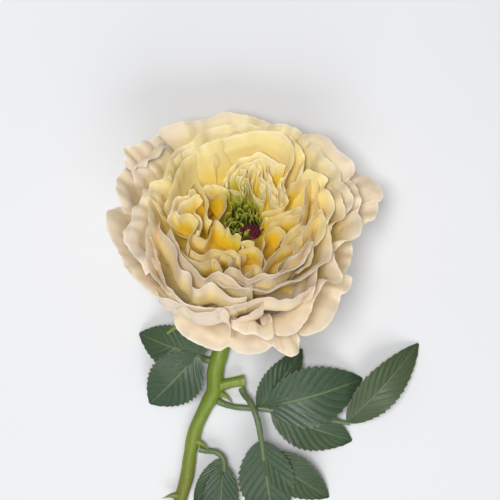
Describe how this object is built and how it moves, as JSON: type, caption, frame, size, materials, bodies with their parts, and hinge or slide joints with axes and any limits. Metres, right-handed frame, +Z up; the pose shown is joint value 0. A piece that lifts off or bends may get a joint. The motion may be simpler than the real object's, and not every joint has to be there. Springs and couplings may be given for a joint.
{
  "type": "peony-form garden rose, cut bloom with stem and leaves",
  "caption": "Full, quartered garden rose of peony form, cream outside and yellow inside, with a green eye, on a cut stem with toothed leaves, lying down.",
  "frame": {"origin": "on the surface that the flower lies on, below the middle of its bounding box", "axes": "+Z up from the surface, +Y along the stem towards the bloom, +X to the right as seen from the cut end of the stem"},
  "size_m": [0.1189, 0.1872, 0.0704],
  "materials": {
    "petal_cream": "soft satin, thin and a little translucent",
    "petal_yellow": "soft satin, thin and a little translucent",
    "petaloid_green": "soft satin",
    "stigma_burgundy": "matt, velvety",
    "sepal_green": "smooth, a little waxy",
    "stem_green": "smooth, a little waxy",
    "leaf_green": "semi-matt, a little waxy"
  },
  "bodies": {
    "root": {"petals_outer": "petal_cream", "petals_inner": "petal_yellow", "petaloids": "petaloid_green", "stigmas": "stigma_burgundy", "calyx": "sepal_green", "stem": "stem_green", "leaf_right": "leaf_green", "leaf_left": "leaf_green", "leaf_low": "leaf_green", "leaf_base": "leaf_green"}
  },
  "joints": []
}
